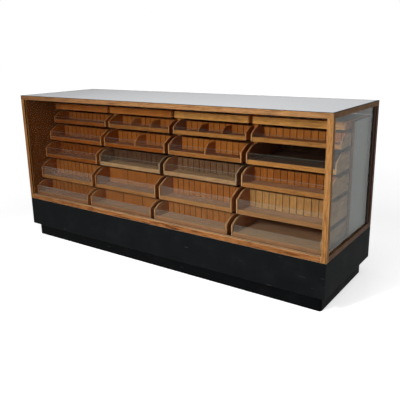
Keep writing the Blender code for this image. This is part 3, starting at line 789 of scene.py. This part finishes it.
def rail_section(low_z, high_z, groove):
    """Outline of a top rail as (distance from the outer face, height), with its glazing groove if it has one."""
    section = [(0, low_z), (0, high_z), (TOP_MARGIN, high_z), (TOP_MARGIN, low_z + TONGUE)]
    section += [(TOP_WIDTH, low_z + TONGUE), (TOP_WIDTH, low_z)]
    if groove:
        section += [(groove[1], low_z), (groove[1], low_z + TOP_GROOVE), (groove[0], low_z + TOP_GROOVE)]
        section += [(groove[0], low_z)]
    return section


def mitre(bm, corner, outwards):
    """Saw a rail off at 45 degrees through a corner and close the end."""
    geometry = bm.verts[:] + bm.edges[:] + bm.faces[:]
    sawn = bmesh.ops.bisect_plane(
        bm, geom=geometry, plane_co=corner, plane_no=outwards, clear_outer=True, clear_inner=False,
    )
    bmesh.ops.edgeloop_fill(bm, edges=[item for item in sawn["geom_cut"] if isinstance(item, bmesh.types.BMEdge)])


def make_top_frame():
    (left, front, _), (right, rear, top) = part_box("top_frame")
    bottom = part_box("right_stile")[1][2] + FIT
    under = top - EDGING
    rails = (
        # axis, outer face, direction inwards, groove, (tone, finish)
        # The front rail's pair of tones paints shade towards its left end
        ("X", front, 1, [edge - front for edge in FRONT_GROOVE], ((0.06, 0.42), 0)),
        ("X", rear, -1, None, (0.45, 0)),
        ("Y", left, 1, None, (0.45, 0)),
        ("Y", right, -1, [right - edge for edge in reversed(SIDE_GROOVE)], (0.9, 1)),
    )
    strip = [(0, under), (0, top), (TOP_MARGIN, top), (TOP_MARGIN, under)]
    piece = bmesh.new()
    for axis, face, inwards, groove, look in rails:
        start, end = (left, right) if axis == "X" else (front, rear)
        boards = ((rail_section(bottom, under, groove), *look, 0.001), (strip, 0.5, 2, 0.0005))
        for section, tone, finish, rounding in boards:
            # An outline across X is read as (y, z), and one across Y as (x, z)
            bm = drawn_shape([(face + inwards * away, height) for away, height in section], axis, start, end)
            for edge, outwards in ((start, -1), (end, 1)):
                corner, saw = Vector((edge, face, 0)), Vector((outwards, inwards, 0))
                if axis == "Y":
                    # The same cut with x and y swapped
                    corner, saw = corner.yxz, saw.yxz
                mitre(bm, corner - saw * BOARD_GAP / 4, saw)
            bmesh.ops.recalc_face_normals(bm, faces=bm.faces)
            lay(piece, ease(bm, rounding), axis, tone, finish)
    add_board(
        piece, (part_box("sill")[0][0], REAR_BOARD_Y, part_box("slide_c1")[1][2] + RAIL_ABOVE_SLIDES),
        (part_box("case_floor")[1][0], REAR_BOARD_OUTSIDE, bottom + TONGUE / 2),
        "X", 0.35, finish=1, rounding=0.0012, wear=-0.4,
    )
    place(piece, "top_frame", "case", "honey_oak", [honey_oak, greyed_wood, plinth_paint], dust=0.25)


def make_top_panel():
    low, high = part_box("top_panel")
    piece = bmesh.new()
    add_board(piece, low, (high[0], high[1], high[2] - SHEET), "X", 0.3, finish=1, rounding=0)
    add_board(piece, (low[0], low[1], high[2] - SHEET), high, "X", 0.5, rounding=0.0008)
    place(piece, "top_panel", "case", "grey_sheet", [top_sheet, drawer_wood])


make_top_frame()
make_top_panel()

# %% [markdown]
# ## The two big panes
# Each pane is a thin box. Its broad faces are clear, and its narrow faces are ground, so they get the second finish.
# The arrises are only just taken off, because a real pane would cut a finger otherwise.

# %% Panes
def add_pane(name, body, glass, normal_axis):
    bm = ease(box_shape(*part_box(name)), 0.0003, wear=0.0, segments=1)
    for face in bm.faces:
        face.smooth = False
        face.material_index = 0 if abs(face.normal["XYZ".index(normal_axis)]) > 0.9 else 1
    place(bm, name, body, "glass", [glass, glass_edge])


add_pane("front_glass", "case", front_pane_glass, "Y")
add_pane("side_glass", "case", side_pane_glass, "X")
print("front pane", [round(value, 3) for value in FRONT_GLASS[1] - FRONT_GLASS[0]])

# %% [markdown]
# ## Left end and uprights
# The left end is a closed oak panel. A real one that size is glued up from boards, with a lipping at the front and a
# rail at the foot and head, so that is how it is laid here. Its inner face and the lipping's inner side are painted
# nearly black red as shade. Between the columns stand uprights of the drawer wood. Every wall carries one runner
# strip per drawer, and the drawer slides on top.

# %% Rows and columns as the imported model has them
ROWS = 5
COLUMNS = 4
UPRIGHT_DEPTH = 0.267
RACK_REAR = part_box("upright_1")[1][1]
RACK_FRONT = RACK_REAR - UPRIGHT_DEPTH
SIDE_HEIGHT = {1: 0.066, 2: 0.087, 3: 0.087, 4: 0.108, 5: 0.082}
STRAIGHT_FRONT = {1: 0.038, 2: 0.053, 3: 0.060, 4: 0.072, 5: 0.055}

row_bottom = {row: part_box(f"drawer_r{row}c1")[0][2] for row in range(1, ROWS + 1)}
row_front = {row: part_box(f"drawer_r{row}c1")[0][1] for row in range(1, ROWS + 1)}
(_, slide_front, slide_bottom), (_, _, slide_top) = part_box("slide_c1")
print("row fronts", {row: round(front, 3) for row, front in row_front.items()})

# %% Runner strips
RUNNER_HEIGHT = 0.012
RUNNER_REACH = 0.010
RUNNER_END = 0.005


def add_runners(piece, wall, side, tone, front=RACK_FRONT):
    """Runner strips on a wall that faces +X or -X, one under each row but the lowest, and one under the slide."""
    near, far = sorted((wall, wall + side * RUNNER_REACH))
    for height in [row_bottom[row] for row in range(1, ROWS)] + [slide_bottom]:
        top = height - FIT
        add_board(
            piece, (near, front + RUNNER_END, top - RUNNER_HEIGHT), (far, RACK_REAR - RUNNER_END, top), "Y", tone,
        )


# %% Closed left end
LEFT_THICKNESS = 0.025
LIPPING = 0.020
REAR_LIPPING = 0.055
END_RAIL = 0.060
FIELD_BOARDS = 4
FIELD_RECESS = 0.0012
SHADE_SHEET_THICKNESS = 0.001


def make_left_panel():
    low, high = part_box("left_panel")
    outside, inside = low[0], low[0] + LEFT_THICKNESS
    bottom, top = low[2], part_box("right_stile")[1][2]
    front, rear = low[1] + LIPPING, high[1] - REAR_LIPPING
    groove = FRONT_GROOVE
    piece = bmesh.new()
    lipping = (
        (outside, low[1]), (inside, low[1]), (inside, groove[0]), (inside - GROOVE, groove[0]),
        (inside - GROOVE, groove[1]), (inside, groove[1]), (inside, front), (outside, front),
    )
    lay(piece, ease(drawn_shape(lipping, "Z", bottom, top), 0.0012), "Z", 0.3)
    # Painted shade: the lipping's inner side takes the dark finish
    for face in piece.faces:
        if face.normal.x > 0.5:
            face.material_index = 1
    add_board(piece, (outside, rear, bottom), (inside, high[1], top), "Z", rounding=0.0012)
    front, rear = front + BOARD_GAP, rear - BOARD_GAP
    for foot, head in ((bottom, bottom + END_RAIL), (top - END_RAIL, top)):
        add_board(piece, (outside, front, foot), (inside - FIELD_RECESS, rear, head), "Y", rounding=0.0012)
    width = (rear - front) / FIELD_BOARDS
    for number in range(FIELD_BOARDS):
        start = front + number * width
        add_board(
            piece, (outside + FIELD_RECESS, start, bottom + END_RAIL + BOARD_GAP),
            (inside - FIELD_RECESS, start + width - BOARD_GAP / 2, top - END_RAIL - BOARD_GAP),
            "Z", 0.45, rounding=0.0008, wear=-0.6,
        )
    # Painted shade: a thin dark sheet over the inner face
    add_board(piece, (inside - SHADE_SHEET_THICKNESS, front, bottom), (inside, rear, top), "Z", finish=1, rounding=0)
    add_runners(piece, inside - FIELD_RECESS, 1, 0.4)
    place(piece, "left_panel", "case", "honey_oak", [honey_oak, left_end_shade_wood])


make_left_panel()
print("left end with", FIELD_BOARDS, "boards")

# %% Uprights between the columns
UPRIGHT_THICKNESS = 0.021
UPRIGHT_LIPPING = 0.030


def make_upright(number):
    name = f"upright_{number}"
    low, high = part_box(name)
    middle = (low[0] + high[0]) / 2
    left, right = middle - UPRIGHT_THICKNESS / 2, middle + UPRIGHT_THICKNESS / 2
    lipping_rear = RACK_FRONT + UPRIGHT_LIPPING
    piece = bmesh.new()
    add_board(piece, (left, RACK_FRONT, low[2]), (right, lipping_rear - FIT, high[2]), "Z")
    add_board(piece, (left, lipping_rear, low[2]), (right, high[1], high[2]), "Z", 0.35)
    add_runners(piece, left, -1, 0.4)
    add_runners(piece, right, 1, 0.4)
    place(piece, name, "case", "drawer_wood", [drawer_wood])


for number in range(1, COLUMNS):
    make_upright(number)
print("rack from", round(RACK_FRONT, 3), "to", round(RACK_REAR, 3))

# %% [markdown]
# The right end is seen through the side pane. It is a board with a narrow pale lipping at the front, and a sheet of
# grey painted hardboard is glued flush on its outer face. Its core is painted near black as shade. The lipping stops
# short of the inner face, which leaves a dark line of painted shade beside the drawers.

# %% Right end
END_THICKNESS = 0.015
END_LIPPING = 0.006
END_SHADE_LINE = 0.004
END_FACE = 0.003


def make_right_end():
    low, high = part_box("right_end")
    inside, core = high[0] - END_THICKNESS, high[0] - END_FACE
    front = low[1] + END_LIPPING
    piece = bmesh.new()
    add_board(piece, (inside + END_SHADE_LINE, low[1], low[2]), (high[0], front - FIT, high[2]), "Z", 0.6, wear=0.3)
    # Painted shade: the core is near black and shows as a dark line beside the lipping
    add_board(piece, (inside, front, low[2]), (core, high[1], high[2]), "Z", finish=2, rounding=0.0006, wear=0.0)
    add_board(piece, (core, front, low[2]), high, "Z", finish=1, rounding=0.0004, wear=0.0)
    add_runners(piece, inside, -1, 0.2, low[1])
    place(piece, "right_end", "case", "drawer_wood", [greyed_wood, hardboard, dark_stain_and_shade_wood])


make_right_end()

# %% [markdown]
# ## Drawers
# A drawer is a shallow tray. Its two sides have a straight front edge and then a curve up to the level top, so that
# the customer can look in from above. A low pane stands in grooves behind the front rail. Behind the display space
# most drawers have a cross board of narrow tongued strips, with a dark line at each joint, and storage space lies
# behind it. Some of the upper ones have dividers. The curve is drawn as an arc of twelve steps and extruded to the
# thickness of the board, because a saw cuts it that way too, and the groove for the pane is cut out afterwards.

# %% Outline of a drawer side and of a divider
ARC_STEPS = 12
SIDE_SLOPE_DEGREES = 31
SIDE_CURVE_RADIUS = 0.075
DIVIDER_CURVE_DEPTH = 0.055


def arc_points(centre_y, top, radius, sweep):
    """Points on an arc that leaves a level top edge forwards and bends down by the sweep."""
    angles = [sweep * step / ARC_STEPS for step in range(ARC_STEPS + 1)]
    return [(centre_y - radius * math.sin(angle), top - radius + radius * math.cos(angle)) for angle in angles]


def side_outline(front, rear, bottom, straight, height):
    """A straight front edge, a slope, and an arc into the level top edge, as (y, z)."""
    slope = math.radians(SIDE_SLOPE_DEGREES)
    slope_rise = height - straight - SIDE_CURVE_RADIUS * (1 - math.cos(slope))
    curve_end = front + slope_rise / math.tan(slope) + SIDE_CURVE_RADIUS * math.sin(slope)
    curve = arc_points(curve_end, bottom + height, SIDE_CURVE_RADIUS, slope)
    return [(rear, bottom), (rear, bottom + height), *curve, (front, bottom + straight), (front, bottom)]


def divider_outline(front, rear, bottom, straight, height):
    """A short straight front edge, then one arc up to the level top edge, as (y, z)."""
    rise = height - straight
    radius = (DIVIDER_CURVE_DEPTH ** 2 + rise ** 2) / (2 * rise)
    sweep = math.asin(DIVIDER_CURVE_DEPTH / radius)
    curve = arc_points(front + DIVIDER_CURVE_DEPTH, bottom + height, radius, sweep)
    return [(rear, bottom), (rear, bottom + height), *curve, (front, bottom)]


# %% Sides and front rail
SIDE_THICKNESS = 0.010
EDGE_ROUNDING = 0.0035
# Painted highlight and shade on the drawer sides' front edges, together with their wear and dirt
EDGE_WEAR_AND_HIGHLIGHT = 0.75
EDGE_DIRT_AND_SHADE = -0.6
TURNED_FORWARD = 0.02
TURNED_UP = 0.1
RAIL_HEIGHT = 0.021
RAIL_THICKNESS = 0.016
REVEAL = 0.0005
PANE_GROOVE = 0.004


def add_side(piece, inner, outer, row, groove, tone, finish):
    """A curved side between two x values. Its front edge is rubbed pale and painted with a highlight, unless the wood
    is bleached already, and its roundings are painted darker as dirt and shade.
    """
    bottom = row_bottom[row]
    outline = side_outline(row_front[row], REAR_BOARD_Y, bottom, STRAIGHT_FRONT[row], SIDE_HEIGHT[row])
    # Painted shade: the roundings are darker, as dirt and shade
    board = ease(drawn_shape(outline, "X", *sorted((inner, outer))), EDGE_ROUNDING, wear=EDGE_DIRT_AND_SHADE)
    wear = board.verts.layers.float["wear"]
    for face in board.faces:
        if face.normal.y < -TURNED_FORWARD and abs(face.normal.x) < TURNED_FORWARD:
            face.smooth = face.normal.z > TURNED_UP
            for vert in face.verts:
                vert[wear] = 0.0 if finish == 1 else EDGE_WEAR_AND_HIGHLIGHT
    foot, head = bottom + RAIL_HEIGHT - PANE_GROOVE, bottom + SIDE_HEIGHT[row] + PANE_GROOVE
    cut = cut_out(board, (inner - PANE_GROOVE, groove[0], foot), (inner + PANE_GROOVE, groove[1], head))
    lay(piece, cut, "Y", tone, finish)


def add_front_rail(piece, left, right, row, groove, tone, finish):
    front, bottom = row_front[row], row_bottom[row]
    section = grooved_section(
        front + REVEAL, front + RAIL_THICKNESS, bottom + REVEAL, bottom + RAIL_HEIGHT, groove, PANE_GROOVE,
    )
    lay(piece, ease(drawn_shape(section, "X", left, right), 0.001), "X", tone, finish, chance=0.03)


# %% [markdown]
# The cross board is made strip by strip. Each joint's rounded arrises get a wear value below zero, so old polish
# collects there and the joint reads as a dark line. It is drawn about twice as wide as on the real board, where it
# would be lost at the photograph's size.

# %% Cross board, dividers and pull
FLOOR_RISE = 0.004
FLOOR_THICKNESS = 0.006
HOUSING = 0.005
CROSS_SETBACK = 0.115
CROSS_THICKNESS = 0.012
CROSS_DROP = 0.007
NARROW_STRIPS = 12
WIDE_STRIPS = 3
JOINT_ROUNDING = 0.002
JOINT_DIRT = -2.0
DIVIDER_THICKNESS = 0.008
PULL_LENGTH = 0.100
PULL_HEIGHT = 0.020
PULL_REACH = 0.018
PULL_LIP = 0.006


def add_cross_board(piece, left, right, row, strips, tone, finish):
    front = row_front[row] + CROSS_SETBACK
    foot = row_bottom[row] + FLOOR_RISE + FLOOR_THICKNESS
    top = row_bottom[row] + SIDE_HEIGHT[row] - CROSS_DROP
    width = (right - left) / strips
    for number in range(strips):
        start = left + number * width
        add_board(
            piece, (start, front, foot), (start + width - FIT, front + CROSS_THICKNESS, top), "Z", tone, finish,
            JOINT_ROUNDING, JOINT_DIRT, chance=0.05,
        )


def add_dividers(piece, left, right, row, compartments, tone):
    front = row_front[row] + RAIL_THICKNESS
    foot = row_bottom[row] + FLOOR_RISE + FLOOR_THICKNESS
    rear = row_front[row] + CROSS_SETBACK
    straight = row_bottom[row] + RAIL_HEIGHT - HOUSING - foot
    height = row_bottom[row] + SIDE_HEIGHT[row] - CROSS_DROP - HOUSING - foot
    outline = divider_outline(front, rear, foot, straight, height)
    for number in range(1, compartments):
        middle = left + (right - left) * number / compartments
        board = drawn_shape(outline, "X", middle - DIVIDER_THICKNESS / 2, middle + DIVIDER_THICKNESS / 2)
        lay(piece, ease(board, 0.001), "Y", tone)


def add_pull(piece, middle, centre_height, tone):
    """A strip pull with an undercut for the fingers, glued to the board at the back."""
    near, far = REAR_BOARD_OUTSIDE, REAR_BOARD_OUTSIDE + PULL_REACH
    foot, top = centre_height - PULL_HEIGHT / 2, centre_height + PULL_HEIGHT / 2
    outline = (
        (near, top), (near, foot), (far - PULL_LIP, foot + PULL_LIP), (far, foot), (far, top - PULL_LIP),
        (far - PULL_LIP, top),
    )
    board = drawn_shape(outline, "X", middle - PULL_LENGTH / 2, middle + PULL_LENGTH / 2)
    lay(piece, ease(board, 0.0015, segments=3), "X", tone)


# %% [markdown]
# No two drawers have aged alike. As a rule they are also painted paler towards the right end and the bottom, as the
# light that falls off towards the left end and the top, and they are dustier there too. The tables below were matched
# to the photograph. A look is a tone and a finish. Tone 0 is the darkest board of a wood and 1 the palest. Finish 0
# is the drawer's own wood, 1 the bleached one, 2 the golden one and 3 the pale one, which is partly painted light.

# %% How each drawer has aged
WITHOUT_CROSS_BOARD = {(2, 4), (5, 4)}
WITH_WIDE_STRIPS = {(4, 2), (5, 2)}
COMPARTMENTS = {(1, 2): 3, (1, 3): 3, (2, 2): 2, (2, 3): 2}
GREYED = {(3, 2), (3, 3)}
# Painted light: the tones below rise to the right and downwards, as the light falls off towards the left end and the
# top
DRAWER_TONE = 0.28
TONE_AND_LIGHT_PER_COLUMN = 0.07
TONE_AND_LIGHT_PER_ROW = 0.045
TONE_CHANCE = 0.06
# Painted shade: the sides' inner faces are darker than the drawer, as they face away from the light
SIDE_PAINTED_SHADE = 0.36
SIDE_LIGHT_PER_COLUMN = 0.09
LEFT_SIDE_IN_SHADE = 0.15
FLOOR_DARKER = 0.15
LOW_FLOOR_DARKER = 0.27
FLOOR_TONE_AND_LIGHT_PER_COLUMN = 0.04
BOARD_TONE_AND_LIGHT_PER_COLUMN = 0.03
DIVIDER_PALER = 0.1
BACK_PALER = 0.1
PULL_PALER = 0.2
DUST_BY_ROW = {1: 0.01, 2: 0.01, 3: 0.02, 4: 0.08, 5: 0.17}
DUST_PER_COLUMN = 0.5
FILMED_FROM_ROW = 4
# Painted light: the rail tones also rise to the right as the light does
RAIL_LOOKS = {
    # row: (tone, finish) from the left column to the right one
    1: ((0.10, 0), (0.28, 2), (0.49, 2), (0.57, 2)),
    2: ((0.10, 0), (0.10, 0), (0.28, 2), (0.57, 2)),
    3: ((0.10, 0), (0.80, 1), (0.80, 1), (0.45, 2)),
    4: ((0.31, 2), (0.31, 2), (0.42, 2), (0.42, 2)),
    5: ((0.23, 3), (0.21, 3), (0.35, 3), (0.42, 3)),
}
FLOOR_LOOKS = {
    # (row, column): (tone, finish), where it isn't like the drawer
    (2, 2): (0.08, 0), (2, 3): (0.08, 0), (2, 4): (0.00, 1), (3, 1): (0.08, 0), (3, 2): (0.68, 0), (3, 3): (0.68, 0),
    (3, 4): (0.22, 3), (4, 2): (0.15, 3), (4, 3): (0.28, 3), (4, 4): (0.57, 3), (5, 2): (0.49, 3), (5, 3): (0.62, 3),
    (5, 4): (0.75, 3),
}
BACK_LOOKS = {(2, 4): (0.00, 1)}
GREYED_BOARDS = {(3, 2): 0.07, (3, 3): 0.3}
GOLDEN_BOARDS = {(4, 4)}
BOARD_CHANGES = {(3, 1): -0.25, (3, 4): -0.24, (4, 2): -0.15, (4, 3): -0.17, (4, 4): 0.1}
SIDE_CHANGES = {
    (2, 2): -0.2, (2, 3): -0.12, (2, 4): -0.6, (3, 3): 0.13, (4, 1): -0.15, (4, 2): -0.25, (5, 3): 0.26,
}

# %% One whole drawer
REAR_BOARD_GAP = 0.003


def make_drawer(row, column):
    spot, ending = (row, column), f"r{row}c{column}"
    low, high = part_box("drawer_" + ending)
    pane_low, pane_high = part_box("drawer_glass_" + ending)
    left, right = pane_low[0] + PANE_GROOVE - FIT, pane_high[0] - PANE_GROOVE + FIT
    groove = (pane_low[1] - FIT, pane_high[1] + FIT)
    bottom = row_bottom[row]
    tone = DRAWER_TONE + TONE_AND_LIGHT_PER_COLUMN * (column - 1) + TONE_AND_LIGHT_PER_ROW * (row - 1)
    tone += shade.uniform(-TONE_CHANCE, TONE_CHANCE)
    side_tone = tone - SIDE_PAINTED_SHADE + SIDE_LIGHT_PER_COLUMN * (column - 1) + SIDE_CHANGES.get(spot, 0)
    floor_tone = tone + FLOOR_TONE_AND_LIGHT_PER_COLUMN * column - (FLOOR_DARKER if row < FILMED_FROM_ROW else LOW_FLOOR_DARKER)
    board_tone = tone + BOARD_TONE_AND_LIGHT_PER_COLUMN * column + BOARD_CHANGES.get(spot, 0)
    piece = bmesh.new()
    left_look = (side_tone - LEFT_SIDE_IN_SHADE, 3) if column > 2 else (side_tone, 0)
    right_look = (1.0, 1) if column == COLUMNS else (side_tone, 0)
    add_side(piece, left, left - SIDE_THICKNESS, row, groove, *left_look)
    add_side(piece, right, right + SIDE_THICKNESS, row, groove, *right_look)
    add_front_rail(piece, left, right, row, groove, *RAIL_LOOKS[row][column - 1])
    add_board(
        piece, (left, row_front[row] + RAIL_THICKNESS, bottom + FLOOR_RISE),
        (right, REAR_BOARD_Y, bottom + FLOOR_RISE + FLOOR_THICKNESS),
        "X", *FLOOR_LOOKS.get(spot, (floor_tone, 0)), rounding=0,
    )
    if spot not in WITHOUT_CROSS_BOARD:
        strips = WIDE_STRIPS if spot in WITH_WIDE_STRIPS else NARROW_STRIPS
        board_look = (GREYED_BOARDS.get(spot, board_tone), 2 if spot in GOLDEN_BOARDS else 0)
        add_cross_board(piece, left, right, row, strips, *board_look)
    add_dividers(piece, left, right, row, COMPARTMENTS.get(spot, 1), tone + DIVIDER_PALER)
    board_top = (row_bottom[row - 1] if row > 1 else slide_bottom) + REVEAL - REAR_BOARD_GAP
    add_board(
        piece, (low[0], REAR_BOARD_Y, bottom + REVEAL), (high[0], REAR_BOARD_OUTSIDE, board_top),
        "X", *BACK_LOOKS.get(spot, (tone + BACK_PALER, 0)), rounding=0.0015,
    )
    add_pull(piece, (low[0] + high[0]) / 2, (bottom + board_top) / 2, tone + PULL_PALER)
    slot, main_wood = ("greyed_drawer_wood", greyed_wood) if spot in GREYED else ("drawer_wood", drawer_wood)
    finishes = [main_wood, greyed_wood, golden_wood, pale_floor_wood]
    dust = DUST_BY_ROW[row] * (1 + DUST_PER_COLUMN * (column - 1))
    body = "drawer_body_" + ending
    made = place(piece, "drawer_" + ending, body, slot, finishes, dust)
    glass = filmed_drawer_glass if row >= FILMED_FROM_ROW else clean_drawer_glass
    add_pane("drawer_glass_" + ending, body, glass, "Y")
    return len(made.data.polygons)


faces = sum(make_drawer(row, column) for row in range(1, ROWS + 1) for column in range(1, COLUMNS + 1))
print("faces in the twenty drawers:", faces)

# %% [markdown]
# ## Pull-out slides
# Above each column a shallow slide pulls out to the shopkeeper's side, as a place to lay out goods. It is a hollow
# frame under a board, and the board is lined with a blue grey sheet, which is what shows through the side pane.

# %% Slides
SLIDE_RIM = 0.014
SLIDE_BOARD = 0.018
# Painted light: the slides' tones rise to the right as the light does, and are paler to offset the top rail's shadow
SLIDE_TONES_AND_LIGHT = {1: 0.33, 2: 0.47, 3: 0.82, 4: 0.98}
LINING = 0.0015


def make_slide(column):
    name = f"slide_c{column}"
    low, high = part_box(name)
    pane_low, pane_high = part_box(f"drawer_glass_r1c{column}")
    left = pane_low[0] + PANE_GROOVE - FIT - SIDE_THICKNESS
    right = pane_high[0] - PANE_GROOVE + FIT + SIDE_THICKNESS
    inner_left, inner_right, inner_front = left + SLIDE_RIM, right - SLIDE_RIM, slide_front + SLIDE_RIM
    under_board, under_lining = slide_top - SLIDE_BOARD, slide_top - LINING
    piece = bmesh.new()
    add_board(
        piece, (left, slide_front, slide_bottom), (right, inner_front, slide_top),
        "X", SLIDE_TONES_AND_LIGHT[column], 2 if column > 2 else 0, rounding=0.0012,
    )
    for near, far in ((left, inner_left), (inner_right, right)):
        add_board(piece, (near, inner_front, slide_bottom), (far, REAR_BOARD_Y, slide_top), "Y")
    for front, foot, top in (
        (REAR_BOARD_Y - SLIDE_RIM, slide_bottom, under_board), (inner_front, under_board, under_lining),
    ):
        add_board(piece, (inner_left, front, foot), (inner_right, REAR_BOARD_Y, top), "X", 0.4, rounding=0)
    add_board(
        piece, (inner_left + FIT, inner_front + FIT, under_lining),
        (inner_right - FIT, REAR_BOARD_Y, slide_top - FIT), finish=1, rounding=0,
    )
    add_board(
        piece, (low[0], REAR_BOARD_Y, slide_bottom + REVEAL), (high[0], REAR_BOARD_OUTSIDE, slide_top - REVEAL),
        "X", 0.6, rounding=0.0015,
    )
    add_pull(piece, (low[0] + high[0]) / 2, (slide_bottom + slide_top) / 2, 0.7)
    place(piece, name, f"slide_body_c{column}", "drawer_wood", [drawer_wood, slide_sheet, golden_wood])


for column in range(1, COLUMNS + 1):
    make_slide(column)
print("slide tops at", round(slide_top, 3))
